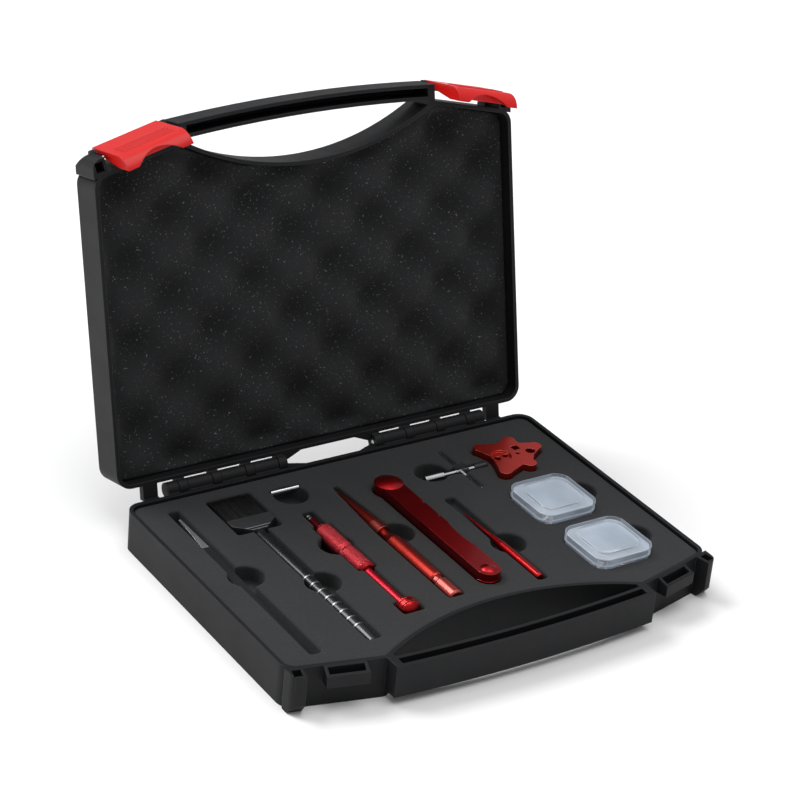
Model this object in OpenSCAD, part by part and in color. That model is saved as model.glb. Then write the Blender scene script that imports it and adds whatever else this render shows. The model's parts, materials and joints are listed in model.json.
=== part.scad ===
// Small-tool maintenance kit in an open carry case with a foam tray.
// X is the width, Y runs back towards the hinge and Z is up. The origin is the
// middle of the underside of the base. Millimetres throughout.

/* [Case] */
// Overall width of the case body
case_w = 240; // [234:1:290]
// Depth of the case body from the front corners to the back wall
case_d = 156; // [154:1:200]
// Height of the base up to the seam
base_h = 21.5; // [21:0.5:30]
// Height of the lid above the seam
lid_h = 19.5; // [19:0.5:30]
// Thickness of the moulded walls and floors
wall = 2; // [1.6:0.1:3]
// Radius of the rounded corners in plan
corner_r = 8; // [6:0.5:14]
// Angle of the two latch faces to the front
front_slope = 13.5; // [8:0.5:18]
// Gap between the rims of the base and the lid when closed
seam_gap = 0.3; // [0.2:0.05:0.6]
// Angle the lid is open at on its stop
lid_open = 103.5; // [95:0.5:108]

/* [Handle] */
// Half of the width of the handle
handle_half = 73.5; // [66:0.5:80]
// Depth of the handle from front to back
handle_w = 8; // [7.5:0.5:10]
// Height left free under the handle
handle_lift = 4.5; // [3:0.5:7]
// Thickness of the lips along the handle channel
handle_lip = 1.8; // [1.4:0.1:2.4]
// How far the handle bows out in the middle
handle_bow = 3.2; // [2:0.1:6]
// How far the body curves in behind the handle
scoop_depth = 19.4; // [16:0.2:24]

/* [Hinge] */
// Distance of the hinge axis behind the back wall
hinge_out = 4.7; // [4.6:0.1:7]
// Distance of the first knuckle from the middle of the case
hinge_x0 = 26.5; // [20:0.5:30]
// Width of a narrow knuckle on the lid
lid_knuckle_w = 4.6; // [3.5:0.1:6]
// Width of a long knuckle on the base
base_knuckle_w = 13.6; // [10:0.1:15]
// Side gap between two knuckles
knuckle_gap = 0.4; // [0.3:0.05:0.8]
// Radius of the knuckles
knuckle_r = 3.9; // [3.4:0.1:4]
// Radius of the hinge pins
hinge_pin_r = 1.5; // [1.2:0.1:2]
// Distance of the stop lugs from the middle of the case
stop_x = 98.5; // [97:0.5:102]
// Width of a stop lug
stop_w = 8; // [4:0.5:10]

/* [Latch] */
// Width of a latch
latch_w = 36; // [30:0.5:36.5]
// Height of the latch pivot above the seam
latch_pivot_h = 13; // [11:0.5:14]
// How far the latch reaches below the seam
latch_drop = 19; // [17:0.5:19.5]
// Thickness of the latch plate
latch_t = 2; // [1.6:0.1:2.4]
// Radius of the latch pins
latch_pin_r = 1; // [0.8:0.1:1.2]
// Width of the catch block on the base
catch_w = 20.5; // [16:0.5:22]

/* [Foam] */
// How far the tray foam lies below the rim of the base
foam_recess = 1.5; // [1:0.5:3]
// How far the lid foam lies above the seam
lid_foam_recess = 6.4; // [6.2:0.2:8]
// Room left around each tool in its pocket
pocket_gap = 0.5; // [0.4:0.1:1.2]
// Room left under each tool in its pocket
pocket_floor_gap = 0.3; // [0.2:0.1:0.8]
// Radius of the finger cuts
finger_r = 9; // [7:0.5:11]
// Depth of the finger cuts
finger_depth = 9; // [6:0.5:12]

/* [Tweezers] */
// Overall length of the tweezers
tweezers_l = 128; // [110:1:132]
// Width of a tweezers arm
tweezers_w = 5; // [4:0.5:6]
// Thickness of a tweezers arm
tweezers_t = 1.3; // [1:0.1:1.6]
// Gap between the tips at rest
tweezers_gap = 5.6; // [3:0.2:6.5]

/* [Brush] */
// Overall length of the brush
brush_l = 137.5; // [120:0.5:138]
// Width of the bristles
brush_w = 22; // [16:0.5:24]
// Length of the bristles in front of the ferrule
bristle_l = 21; // [16:0.5:26]
// Thickness of the bristles
bristle_t = 7; // [5:0.5:8]
// Radius of the brush handle
brush_r = 3.2; // [2.6:0.1:3.8]
// Number of bands round the handle
brush_bands = 8; // [4:1:9]

/* [Knurled driver] */
// Radius of the knurled grip
grip_r = 4.9; // [4:0.1:5.4]
// Length of the knurled grip
grip_l = 43; // [36:0.5:50]
// Radius of the shaft behind the grip
driver_shaft_r = 2.4; // [1.8:0.1:3]
// Length of the shaft behind the grip
driver_shaft_l = 31.5; // [24:0.5:33]
// Radius of the ribbed cap
driver_cap_r = 5.6; // [4.6:0.1:6]

/* [Pen tool] */
// Radius of the pen barrel
pen_r = 4.2; // [3.6:0.1:4.8]
// Length of the pen barrel
pen_barrel_l = 38; // [30:0.5:44]
// Length of the tapered nose
pen_nose_l = 36; // [30:0.5:38]

/* [Wrench] */
// Width of the wrench bar
wrench_w = 12; // [9:0.5:12.5]
// Thickness of the wrench bar
wrench_t = 8; // [6:0.5:8]
// Radius of the drum at the end of the wrench
drum_r = 7.4; // [6:0.1:8]
// Distance from the drum to the round end
wrench_reach = 89; // [76:1:90]
// How far the wrench stands above the foam
wrench_proud = 4.6; // [3:0.2:5]

/* [Pick] */
// Overall length of the pick
pick_l = 66; // [56:1:70]
// Radius of the pick handle
pick_r = 2.4; // [1.8:0.1:3]

/* [Pin press] */
// Radius of the pin press spindle
spindle_r = 1.1; // [0.9:0.1:1.4]
// Side of the square block on the spindle
press_block_w = 6; // [5:0.5:7]
// Length of the tommy bar
tommy_l = 39; // [34:1:40]
// Radius of the tommy bar
tommy_r = 0.9; // [0.8:0.1:1.1]

/* [Star wrench] */
// Reach of the lobes of the star wrench
star_r = 20; // [17:0.5:20.5]
// Thickness of the star wrench
star_t = 5; // [3:0.5:5.5]
// Width of the square drive hole
star_square = 4; // [3:0.5:5]

/* [Clear boxes] */
// Side of the lower half of a clear box
box_w = 33.2; // [28:0.2:34]
// Overall height of a clear box
box_h = 18; // [15:0.5:18.5]
// Thickness of the clear walls
box_wall = 1.2; // [1:0.1:1.6]
// How far the lower half stands above the foam
box_proud = 0.5; // [0.4:0.1:1]

/* [Hidden] */
$fn = 96;
seam_z = base_h;
case_h = base_h + lid_h;
back_y = case_d / 2;
centre_r = corner_r;
slope_rise = tan(front_slope);
half_w = case_w / 2;
knee_x = handle_half - 0.5;
body_front = -back_y - (half_w - knee_x) * slope_rise;
front_lift = corner_r / cos(front_slope);
corner_x = half_w - corner_r;
corner_front_y = -back_y - corner_r * slope_rise + front_lift;
knee_y = body_front + front_lift;
body_centres = [
  [-corner_x, corner_front_y],
  [-knee_x, knee_y],
  [knee_x, knee_y],
  [corner_x, corner_front_y],
  [corner_x, back_y - corner_r],
  [-corner_x, back_y - corner_r]
];
front_y = knee_y - corner_r;
scoop_y = front_y + scoop_depth;
scoop_r = (pow(knee_x - 1, 2) + pow(scoop_depth, 2)) / (2 * scoop_depth);
scoop_centre_y = scoop_y - scoop_r;

corner_out = 7.6;
ear_w = 2.2;
ear_r = 2.6;
handle_out = 8.6;
handle_end_y = front_y - handle_out;
handle_r = (pow(handle_half, 2) + pow(handle_bow, 2)) / (2 * handle_bow);
handle_centre_y = handle_end_y - handle_bow + handle_r;
handle_end_w = 4;

hinge_y = back_y + hinge_out;
knuckle_pitch = lid_knuckle_w + base_knuckle_w + 2 * knuckle_gap;
lid_knuckles = 4;
base_knuckles = lid_knuckles - 1;
hinge_end_x = hinge_x0 + base_knuckles * knuckle_pitch + lid_knuckle_w + knuckle_gap;
hinge_end_w = 6;
knuckle_bite = 1;
bore_gap = 0.06;
web_h = 4;
gusset_l = 13;
gusset_h = 6;
stop_tail = 3.2;
stop_clear = 0.05;
stop_face_y = hinge_y + stop_tail * cos(lid_open) + seam_gap / 2 * sin(lid_open) - stop_clear;
stop_h = 7;

seat_x = 92.8 / 120 * half_w;
seat_y = -back_y - (half_w - seat_x) * slope_rise;
latch_gap = 0.7;
seat_outer_u = -latch_w / 2 - latch_gap;
corner_u = seat_outer_u - 1.3;
corner_block_l = 8;
corner_foot = 3;
corner_rise = 6;
fin_r = 5;
seat_inner_u = latch_w / 2 + latch_gap;
catch_out = 6.4;
catch_top = 2.6;
catch_drop = 8.5;
pivot_v = -6.5;
latch_barrel_r = 2.2;
latch_face = -9.2;
latch_bend_r = 9;
latch_bend = [latch_face + latch_bend_r, latch_bend_r - latch_drop];
latch_top = 2.7;
foot_w = 6;
foot_tip = -2.4;
arch_top = latch_face + latch_t + 0.2;
arch_half = latch_w / 2 - foot_w;
arch_rise = foot_tip - arch_top;
arch_r = (pow(arch_half, 2) + pow(arch_rise, 2)) / (2 * arch_rise);
cheek_t = 1.6;
cheek_top = 5;
cheek_in = -5.6;
hook_w = latch_w - cheek_t;
hook_tip = -3.2;
hook_t = 1.5;
hook_drop = 10.5;
rib_count = 4;
rib_pitch = 2.8;
rib_r = 0.5;
rib_low = 10;
rib_l = 28;

foam_top = base_h - foam_recess;
foam_gap = 0.3;
foam_floor = wall + foam_gap;
lid_foam_z = seam_z + lid_foam_recess;
lid_foam_h = case_h - wall - foam_gap - lid_foam_z;

tweezers_x = -99.5 / 120 * half_w;
tweezers_heel_y = -69.5;
tweezers_z = 9.4;
heel_l = 9;
heel_t = 1.4;
tweezers_pivot_y = tweezers_heel_y + heel_l;
arm_angle = asin(tweezers_gap / (tweezers_l - heel_l));
upper_arm_z = tweezers_t + heel_t + heel_l * sin(arm_angle) + 0.02;
tip_w = 0.9;
taper_l = 40;

brush_x = -68.5 / 120 * half_w;
brush_end_y = -71;
brush_z = foam_top - brush_r - 0.3;
ferrule_l = 12;
ferrule_neck = 4;
ferrule_t = 8;
ferrule_y = brush_end_y + brush_l - bristle_l - ferrule_l;
bristle_bite = 3;
band_w = 0.9;
band_pitch = 6.45;
band_y = -58;
band_t = 0.2;

driver_x = -39.5 / 120 * half_w;
driver_z = foam_top - 2.4;
grip_y = 24.2;
grip_waist = 0.6;
grip_end_y = grip_y - grip_l;
driver_neck_r = 2.8;
driver_neck_l = 9;
driver_tip_r = 1.3;
driver_tip_l = 4;
driver_cap_y = grip_end_y - driver_shaft_l;
driver_cap_l = 9;
cap_gap = 0.25;
cap_ring_l = 1.5;
cap_groove = 0.7;
cap_hole_l = 3;
spigot_r = 1.6;

pen_x = -13.8 / 120 * half_w;
pen_z = foam_top - 2.2;
pen_tip_y = 52;
pen_collar_l = 8;
pen_neck_l = 9.8;
pen_neck_r = 2.3;
pen_flare_l = 6;
pen_band_l = 3;
pen_end_l = 14;
pen_nose_y = pen_tip_y - pen_nose_l;
pen_collar_y = pen_nose_y - pen_collar_l;
pen_neck_y = pen_collar_y - pen_neck_l;
pen_band_y = pen_neck_y - pen_barrel_l;
pen_cap_y = pen_band_y - pen_band_l;
pen_end_y = pen_cap_y - pen_end_l;

wrench_x = 8.8 / 120 * half_w;
drum_y = 39.5;
wrench_top = foam_top + wrench_proud;
wrench_z = wrench_top - wrench_t;
drum_dome = 1.6;
drum_dome_r = (pow(drum_r, 2) + pow(drum_dome, 2)) / (2 * drum_dome);
wrench_end_y = drum_y - wrench_reach;
waist_y = 7;
waist_l = 24;
waist_r = 60;
notch_w = 2.2;
notch_t = 1.2;
pad_r = 4;
pad_h = 1.2;
pad_dome_r = (pow(pad_r, 2) + pow(pad_h, 2)) / (2 * pad_h);

pick_x = 32.8 / 120 * half_w;
pick_end_y = -59.5;
pick_z = foam_top - 1.6;
pick_tip_l = 24;

press_y = 42.2;
press_z = foam_top - 1.2;
press_x0 = 32.8 / 120 * half_w;
press_block_x = press_x0 + 22;
press_x1 = press_block_x + 15.4;
sleeve_l = 11;
sleeve_r = 2;
sleeve_gap = 0.05;
tommy_gap = 0.05;
knob_l = 7;
knob_r = 1.8;

star_x = 85 / 120 * half_w;
star_y = 41;
star_z = foam_top - 2;
star_lobes = [[135, 1], [60, 0.88], [6, 1], [-72, 0.8], [-133, 1.1]];
star_tip_r = 3.5;
star_core_r = 12;
star_recess = 1.2;

box_x = 78.8 / 120 * half_w;
box_rear_y = -5.2;
box_front_y = -51.5;
box_r = 6.5;
box_seam_z = foam_top + box_proud;
box_skirt = 0.7;
box_lip_w = 2 * box_skirt + box_w;
box_lid_gap = 0.2;
box_z = foam_top + 7.2 - box_h;
box_top = box_z + box_h;
box_step = 2.2;
box_pad_w = box_w - 7;
box_dome_r = 70;
box_hinge_y = box_lip_w / 2 + 0.6;
box_tab_w = 12;
box_tab_t = 1;
bit_r = 1.1;
bit_l = 9;

pin_x = -38 / 120 * half_w;
pin_y = 62.5;
pin_r = 1.3;
pin_l = 16;
pin_z = foam_top - 1.1;

black = [0.05, 0.05, 0.055];
foam_grey = [0.11, 0.11, 0.115];
red = [0.75, 0.05, 0.05];
dark_red = [0.55, 0.04, 0.05];
steel = [0.75, 0.76, 0.78];
clear = [0.85, 0.9, 0.95, 0.45];

// ---- helpers ----

function unit(v) = v / norm(v);
function out_normal(a, b) = let (d = unit(b - a)) [d.y, -d.x];
function next(c, k) = c[(k + 1) % len(c)];
function edge_points(c, rad) = [
  for (k = [0:len(c) - 1])
    let (n = out_normal(c[k], next(c, k)))
      each [c[k] + rad * n, next(c, k) + rad * n]
];

// Convex outline with its corners rounded about the given centres.
module smooth_outline(centres, rad) {
  polygon(edge_points(centres, rad));
  for (p = centres)
    translate(p)
      circle(r = rad);
}

module rounded_square(side, rad) {
  c = side / 2 - rad;
  smooth_outline([[-c, -c], [c, -c], [c, c], [-c, c]], rad);
}

// Turned piece running forward from ya to yb.
module rod(ya, yb, ra, rb) {
  translate([0, ya, 0])
    rotate([90, 0, 0])
      cylinder(h = ya - yb, r1 = ra, r2 = rb);
}

// Turned piece running to the right from xa to xb.
module cross_rod(xa, xb, rad) {
  translate([xa, 0, 0])
    rotate([0, 90, 0])
      cylinder(h = xb - xa, r = rad);
}

module block(x0, x1, y0, y1, z0, z1) {
  translate([x0, y0, z0])
    cube([x1 - x0, y1 - y0, z1 - z0]);
}

module strip(x, ya, yb, w) {
  translate([x - w / 2, yb])
    square([w, ya - yb]);
}

module both_sides() {
  children();
  mirror([1, 0, 0])
    children();
}

// Local frame of a latch seat: x runs along the sloped front face, -y is outward.
module at_seat() {
  translate([-seat_x, seat_y, 0])
    rotate([0, 0, -front_slope])
      children();
}

// Turns a piece of the closed lid to where it is with the lid open.
module lid_opened() {
  translate([0, hinge_y, seam_z])
    rotate([-lid_open, 0, 0])
      translate([0, -hinge_y, -seam_z])
        children();
}

// Turns a half drawn floor down into the closed lid.
module as_lid() {
  translate([0, 0, case_h])
    mirror([0, 0, 1])
      children();
}

// ---- case ----

module body_outline(inset) {
  difference() {
    smooth_outline(body_centres, corner_r - inset);
    translate([0, scoop_centre_y])
      circle(r = scoop_r + inset);
  }
}

module handle_band(inset) {
  intersection() {
    difference() {
      translate([0, handle_centre_y])
        circle(r = handle_r - inset);
      translate([0, handle_centre_y])
        circle(r = handle_r - handle_w + inset);
    }
    translate([-handle_half + inset, handle_end_y - 2 * handle_bow])
      square([2 * (handle_half - inset), handle_w + 4 * handle_bow]);
  }
}

module handle_half_shape(rim) {
  difference() {
    translate([0, 0, handle_lift])
      linear_extrude(rim - handle_lift)
        handle_band(0);
    translate([0, 0, handle_lift + handle_lip])
      linear_extrude(rim)
        handle_band(handle_lip);
  }
  both_sides()
    intersection() {
      block(
        -handle_half, -handle_half + handle_end_w,
        handle_end_y - handle_bow, front_y + corner_r,
        handle_lift, rim
      );
      translate([0, handle_centre_y, 0])
        cylinder(h = rim, r = handle_r);
    }
}

// Line the outer corner of a corner block is rounded about.
function fin_y(x) = -back_y - (half_w - x) * slope_rise - (corner_out - fin_r) / cos(front_slope);

// Block that carries the side wall forward beside the latch, hollow at its rim.
module corner_block(rim) {
  fin_x = half_w - fin_r;
  near_x = half_w - 3 * corner_block_l;
  intersection() {
    linear_extrude(rim)
      smooth_outline([
        [-fin_x, fin_y(fin_x)], [-near_x, fin_y(near_x)], [-near_x, 0], [-fin_x, 0]
      ], fin_r);
    at_seat()
      difference() {
        translate([corner_u - 2 * corner_block_l, 0, 0])
          rotate([90, 0, 90])
            linear_extrude(2 * corner_block_l)
              polygon([
                [wall / 2, 0],
                [-corner_foot, 0],
                [-corner_out, corner_rise],
                [-corner_out, rim],
                [wall / 2, rim]
              ]);
        block(
          corner_u - corner_block_l + 2.2, corner_u - 1.4,
          -corner_out + 1.4, -1, rim - 8, rim + 1
        );
      }
  }
}

module half_shell(rim) {
  difference() {
    union() {
      linear_extrude(rim)
        body_outline(0);
      handle_half_shape(rim);
      both_sides()
        corner_block(rim);
    }
    translate([0, 0, wall])
      linear_extrude(rim)
        body_outline(wall);
  }
}

// Wedge the latch hooks under, with a slot moulded into its top.
module catch_block() {
  difference() {
    translate([-catch_w / 2, 0, seam_z])
      rotate([90, 0, 90])
        linear_extrude(catch_w)
          polygon([
            [wall / 2, -catch_drop],
            [-catch_out, -catch_drop],
            [-catch_out, -catch_top],
            [0, -seam_gap],
            [wall / 2, -seam_gap]
          ]);
    block(
      -catch_w / 2 + 1.5, catch_w / 2 - 1.5, -catch_out + 1.4, -1,
      seam_z - catch_drop + 2, seam_z
    );
  }
}

// Cheek of the lid that one end of a latch pin sits in.
module latch_ear(u) {
  translate([u, 0, seam_z + latch_pivot_h]) {
    translate([0, pivot_v, 0])
      cross_rod(0, ear_w, ear_r);
    block(0, ear_w, pivot_v, wall / 2, -ear_r, ear_r);
  }
}

function rim_z(lower) = seam_z - seam_gap / 2 - lower;

module knuckle_row(count, x0, w, rad) {
  for (k = [0:count - 1])
    translate([0, hinge_y, seam_z])
      cross_rod(x0 + k * knuckle_pitch, x0 + k * knuckle_pitch + w, rad);
}

module gusset(z0) {
  translate([0, 0, z0])
    linear_extrude(gusset_h)
      polygon([
        [hinge_x0 - gusset_l, back_y - knuckle_bite],
        [hinge_x0 - knuckle_gap, back_y - knuckle_bite],
        [hinge_x0 - knuckle_gap, hinge_y - 0.5],
      ]);
}

module base_hinge() {
  x0 = hinge_x0 + lid_knuckle_w + knuckle_gap;
  difference() {
    union() {
      knuckle_row(base_knuckles, x0, base_knuckle_w, knuckle_r);
      for (k = [0:base_knuckles - 1])
        block(
          x0 + k * knuckle_pitch, x0 + k * knuckle_pitch + base_knuckle_w,
          back_y - knuckle_bite, hinge_y, seam_z - web_h, rim_z(0)
        );
      translate([0, hinge_y, seam_z])
        cross_rod(hinge_end_x, hinge_end_x + hinge_end_w, knuckle_r);
      block(
        hinge_end_x, hinge_end_x + hinge_end_w,
        back_y - knuckle_bite, hinge_y, seam_z - web_h, rim_z(0)
      );
    }
    translate([0, hinge_y, seam_z])
      cross_rod(hinge_x0, hinge_end_x + hinge_end_w - 1.5, hinge_pin_r + bore_gap);
  }
  gusset(rim_z(gusset_h));
  block(
    stop_x, stop_x + stop_w, back_y - knuckle_bite, stop_face_y,
    seam_z - 2 - stop_h, seam_z - 2
  );
}

module lid_hinge() {
  difference() {
    union() {
      knuckle_row(lid_knuckles, hinge_x0, lid_knuckle_w, knuckle_r + 0.3);
      for (k = [0:lid_knuckles - 1])
        block(
          hinge_x0 + k * knuckle_pitch, hinge_x0 + k * knuckle_pitch + lid_knuckle_w,
          back_y - knuckle_bite, hinge_y, seam_z + seam_gap / 2, seam_z + web_h
        );
    }
    translate([0, hinge_y, seam_z])
      cross_rod(hinge_x0 - 1, hinge_end_x + 1, hinge_pin_r + bore_gap);
  }
  gusset(seam_z + seam_gap / 2);
  block(
    stop_x, stop_x + stop_w, back_y - knuckle_bite, hinge_y + stop_tail,
    seam_z + seam_gap / 2, seam_z + web_h
  );
}

module base_shell() {
  color(black) {
    half_shell(rim_z(0));
    both_sides() {
      at_seat()
        catch_block();
      base_hinge();
    }
  }
}

module hinge_pins() {
  color(steel)
    both_sides()
      translate([0, hinge_y, seam_z])
        cross_rod(hinge_x0 + 0.2, hinge_end_x + hinge_end_w - 2, hinge_pin_r);
}

module latch_bore(rad) {
  at_seat()
    translate([0, pivot_v, seam_z + latch_pivot_h])
      cross_rod(seat_outer_u - ear_w + 0.2, seat_inner_u + ear_w - 0.2, rad);
}

module lid_shell() {
  color(black)
    lid_opened() {
      difference() {
        union() {
          as_lid()
            half_shell(lid_h - seam_gap / 2);
          both_sides()
            at_seat()
              for (u = [seat_outer_u - ear_w, seat_inner_u])
                latch_ear(u);
        }
        both_sides()
          latch_bore(latch_pin_r + bore_gap);
      }
      both_sides()
        lid_hinge();
    }
}

// Section of a latch: a flat plate that curls in at its foot.
module latch_profile() {
  translate([latch_face, latch_bend.y])
    square([latch_t, latch_pivot_h + latch_top - latch_bend.y]);
  intersection() {
    difference() {
      translate(latch_bend)
        circle(r = latch_bend_r);
      translate(latch_bend)
        circle(r = latch_bend_r - latch_t);
    }
    translate([latch_face, -latch_drop])
      square([foot_tip - latch_face, latch_bend_r]);
  }
}

// Section of the cheek that closes each end of a latch.
module cheek_profile() {
  difference() {
    polygon([
      [latch_face + latch_t / 2, cheek_top],
      [cheek_in, cheek_top],
      [foot_tip, latch_bend.y],
      [foot_tip, -latch_drop],
      [latch_face + latch_t / 2, -latch_drop]
    ]);
    difference() {
      translate([latch_face - 1, -latch_drop - 1])
        square([latch_bend_r + 1, latch_bend_r + 1]);
      translate(latch_bend)
        circle(r = latch_bend_r - latch_t / 2);
    }
  }
}

module latch_solid() {
  translate([0, 0, seam_z])
    difference() {
      union() {
        translate([-latch_w / 2, 0, 0])
          rotate([90, 0, 90])
            linear_extrude(latch_w)
              latch_profile();
        for (u = [-latch_w / 2, latch_w / 2 - cheek_t])
          translate([u, 0, 0])
            rotate([90, 0, 90])
              linear_extrude(cheek_t)
                cheek_profile();
        translate([0, pivot_v, latch_pivot_h])
          cross_rod(-latch_w / 2, latch_w / 2, latch_barrel_r);
        block(
          -hook_w / 2, hook_w / 2, latch_face + latch_t / 2, hook_tip,
          -hook_drop, -hook_drop + hook_t
        );
        for (k = [0:rib_count - 1])
          translate([0, latch_face, rib_low - latch_drop + k * rib_pitch])
            cross_rod(-rib_l / 2, rib_l / 2, rib_r);
      }
      translate([0, arch_top + arch_r, -latch_drop - 1])
        cylinder(h = latch_drop + 0.5 - hook_drop, r = arch_r);
      translate([0, pivot_v, latch_pivot_h])
        cross_rod(-latch_w, latch_w, latch_pin_r + bore_gap);
    }
}

module latch_left() {
  color(red)
    lid_opened()
      at_seat()
        latch_solid();
}

module latch_right() {
  color(red)
    lid_opened()
      mirror([1, 0, 0])
        at_seat()
          latch_solid();
}

module latch_pins() {
  color(steel)
    lid_opened()
      both_sides()
        at_seat()
          translate([0, pivot_v, seam_z + latch_pivot_h])
            cross_rod(
              seat_outer_u - ear_w + 0.3, seat_inner_u + ear_w - 0.3, latch_pin_r
            );
}

module lid_foam() {
  color(foam_grey)
    lid_opened()
      translate([0, 0, lid_foam_z])
        linear_extrude(lid_foam_h)
          body_outline(wall + foam_gap);
}

// ---- tray foam ----

module cut(floor_z) {
  translate([0, 0, floor_z - pocket_floor_gap])
    linear_extrude(case_h)
      children();
}

module finger_cut(x, y) {
  translate([x, y, foam_top - finger_depth])
    cylinder(h = case_h, r = finger_r);
}

module brush_pocket() {
  g = 2 * pocket_gap;
  top_y = brush_end_y + brush_l + pocket_gap;
  strip(brush_x, top_y, ferrule_y - pocket_gap, brush_w + 2 + g);
  strip(brush_x, ferrule_y, brush_end_y - pocket_gap, 2 * brush_r + 2 * band_t + g);
}

module driver_pocket() {
  g = 2 * pocket_gap;
  tip_y = grip_y + driver_neck_l + driver_tip_l;
  strip(driver_x, tip_y + 1, grip_y, 2 * driver_neck_r + g);
  strip(driver_x, grip_y + pocket_gap, grip_end_y - pocket_gap, 2 * grip_r + g);
  strip(driver_x, grip_end_y, driver_cap_y, 2 * driver_shaft_r + g);
  strip(
    driver_x, driver_cap_y + pocket_gap, driver_cap_y - driver_cap_l - g,
    2 * driver_cap_r + g
  );
}

module pen_pocket() {
  w = pen_r + pocket_gap;
  polygon([
    [pen_x - w, pen_end_y - pocket_gap],
    [pen_x + w, pen_end_y - pocket_gap],
    [pen_x + w, pen_collar_y],
    [pen_x + 1.5, pen_tip_y + 2],
    [pen_x - 1.5, pen_tip_y + 2],
    [pen_x - w, pen_collar_y]
  ]);
}

module wrench_pocket() {
  strip(wrench_x, drum_y, wrench_end_y, wrench_w + 2 * pocket_gap);
  translate([wrench_x, wrench_end_y])
    circle(r = wrench_w / 2 + pocket_gap);
  translate([wrench_x, drum_y])
    circle(r = drum_r + pocket_gap);
}

module press_pocket() {
  g = 2 * pocket_gap;
  translate([press_x0 - pocket_gap, press_y - sleeve_r - pocket_gap])
    square([press_x1 - press_x0 + g, 2 * sleeve_r + g]);
  translate([press_block_x, press_y])
    square(press_block_w + g, center = true);
  strip(
    press_block_x, press_y + tommy_l / 2 + pocket_gap,
    press_y - tommy_l / 2 - pocket_gap, 2 * tommy_r + g
  );
}

module box_pocket() {
  rounded_square(box_w + 2 * pocket_gap, box_r + pocket_gap);
  translate([-box_tab_w / 2 - pocket_gap, 0])
    square([box_tab_w + 2 * pocket_gap, box_hinge_y + pocket_gap]);
}

module tray_foam() {
  color(foam_grey)
    difference() {
      translate([0, 0, foam_floor])
        linear_extrude(foam_top - foam_floor)
          body_outline(wall + foam_gap);
      cut(tweezers_z)
        strip(
          tweezers_x, tweezers_heel_y + tweezers_l + 7, tweezers_heel_y - 1,
          tweezers_w + 2 * pocket_gap
        );
      cut(brush_z - ferrule_t / 2)
        brush_pocket();
      cut(driver_z - driver_cap_r)
        driver_pocket();
      cut(pen_z - pen_r)
        pen_pocket();
      cut(wrench_z)
        wrench_pocket();
      cut(pick_z - pick_r)
        strip(
          pick_x, pick_end_y + pick_l + 14, pick_end_y - 3,
          2 * pick_r + 2 * pocket_gap
        );
      cut(press_z - press_block_w / 2)
        press_pocket();
      cut(star_z)
        translate([star_x, star_y])
          star_outline(pocket_gap);
      for (y = [box_rear_y, box_front_y])
        cut(box_z)
          translate([box_x, y])
            box_pocket();
      cut(pin_z - pin_r)
        translate([pin_x - pin_l / 2 - pocket_gap, pin_y - pin_r - pocket_gap])
          square([pin_l + 2 * pocket_gap, 2 * pin_r + 2 * pocket_gap]);
      finger_cut(tweezers_x + 3.5, -1);
      finger_cut(brush_x + 3, -20.5);
      finger_cut(driver_x - 2.5, 6);
      finger_cut(pen_x + 4.8, 3);
      finger_cut(pick_x + 3.2, -28);
      finger_cut(press_x0 + 6.2, press_y + 3.7);
      finger_cut(pin_x, pin_y - 6.5);
      for (y = [box_rear_y, box_front_y])
        finger_cut(box_x + box_w / 2 + 3, y + 4);
    }
}

// ---- tweezers ----

module arm_plan() {
  arm_l = tweezers_l - heel_l;
  half = tweezers_w / 2;
  polygon([
    [-half, -heel_l],
    [half, -heel_l],
    [half, arm_l - taper_l],
    [tip_w / 2, arm_l],
    [-tip_w / 2, arm_l],
    [-half, arm_l - taper_l]
  ]);
}

module at_tweezers(z) {
  translate([tweezers_x, tweezers_pivot_y, tweezers_z + z])
    children();
}

module tweezers_lower_arm() {
  color(black)
    at_tweezers(0)
      linear_extrude(tweezers_t)
        arm_plan();
}

module tweezers_heel_block() {
  color(black)
    at_tweezers(tweezers_t)
      block(
        -tweezers_w / 2, tweezers_w / 2, -heel_l, -0.4, 0, heel_t
      );
}

module tweezers_upper_arm() {
  color(black)
    at_tweezers(upper_arm_z)
      rotate([arm_angle, 0, 0])
        linear_extrude(tweezers_t)
          arm_plan();
}

// ---- brush ----

module at_brush() {
  translate([brush_x, 0, brush_z])
    children();
}

module ferrule_solid(shrink) {
  half = brush_w / 2 + 1 - shrink;
  neck = ferrule_neck - shrink;
  translate([0, 0, -ferrule_t / 2 + shrink])
    linear_extrude(ferrule_t - 2 * shrink)
      polygon([
        [-neck, ferrule_y],
        [neck, ferrule_y],
        [half, ferrule_y + ferrule_l * 0.55],
        [half, ferrule_y + ferrule_l],
        [-half, ferrule_y + ferrule_l],
        [-half, ferrule_y + ferrule_l * 0.55]
      ]);
}

module brush_bristles() {
  top_y = brush_end_y + brush_l;
  color(black)
    at_brush()
      block(
        -brush_w / 2, brush_w / 2, ferrule_y + ferrule_l - bristle_bite, top_y,
        -bristle_t / 2, bristle_t / 2
      );
}

module brush_ferrule() {
  mouth_y = ferrule_y + ferrule_l - bristle_bite - 0.05;
  color([0.35, 0.36, 0.38])
    at_brush()
      difference() {
        ferrule_solid(0);
        block(
          -brush_w / 2 - 0.05, brush_w / 2 + 0.05, mouth_y, mouth_y + ferrule_l,
          -bristle_t / 2 - 0.05, bristle_t / 2 + 0.05
        );
        rod(ferrule_y + 4, ferrule_y - 1, brush_r * 0.7 + 0.05, brush_r * 0.7 + 0.05);
      }
}

module brush_handle() {
  color(black)
    at_brush() {
      rod(ferrule_y + 3.9, ferrule_y - 0.1, brush_r * 0.7, brush_r * 0.7);
      rod(ferrule_y - 0.1, brush_end_y + 12, brush_r, brush_r);
      rod(brush_end_y + 12, brush_end_y + 1, brush_r, brush_r * 0.8);
      rod(brush_end_y + 1, brush_end_y, brush_r * 0.8, brush_r * 0.5);
    }
}

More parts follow.
